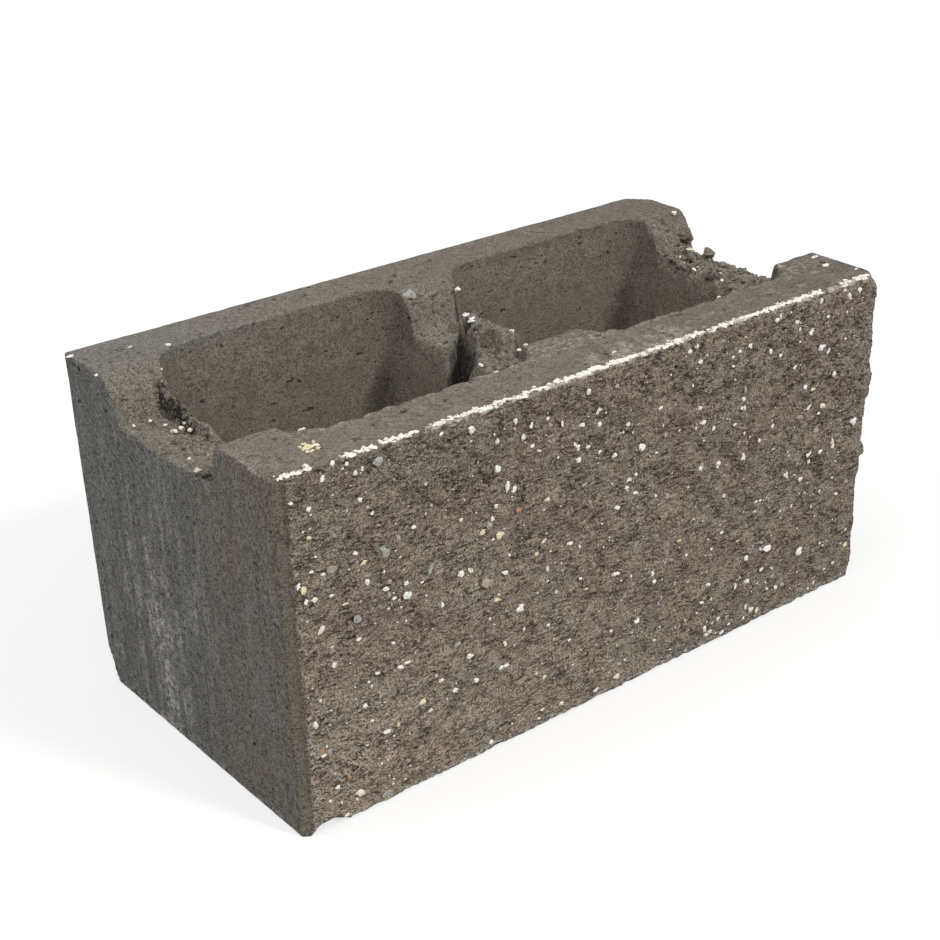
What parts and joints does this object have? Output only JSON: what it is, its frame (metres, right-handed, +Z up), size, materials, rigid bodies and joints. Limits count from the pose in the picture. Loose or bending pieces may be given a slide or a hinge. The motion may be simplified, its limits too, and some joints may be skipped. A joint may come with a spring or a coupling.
{
  "type": "split face concrete block",
  "caption": "Hollow concrete masonry block with tapered cores, webs dipped for a bond-beam bar, and one long face split off as rough rock.",
  "frame": {"origin": "middle of the bottom bed, on the mid plane of the web between the two cores, half way from the back to the mould line of the split face", "axes": "+X along the length, -Y out of the split face, +Z up from the bottom bed to the bed with the dip"},
  "size_m": [0.3968, 0.198, 0.1937],
  "materials": {
    "cast_concrete": "dry cast, open grained, with white chips of stone in the split face"
  },
  "bodies": {
    "root": {"split_face_block": "cast_concrete"}
  },
  "joints": []
}
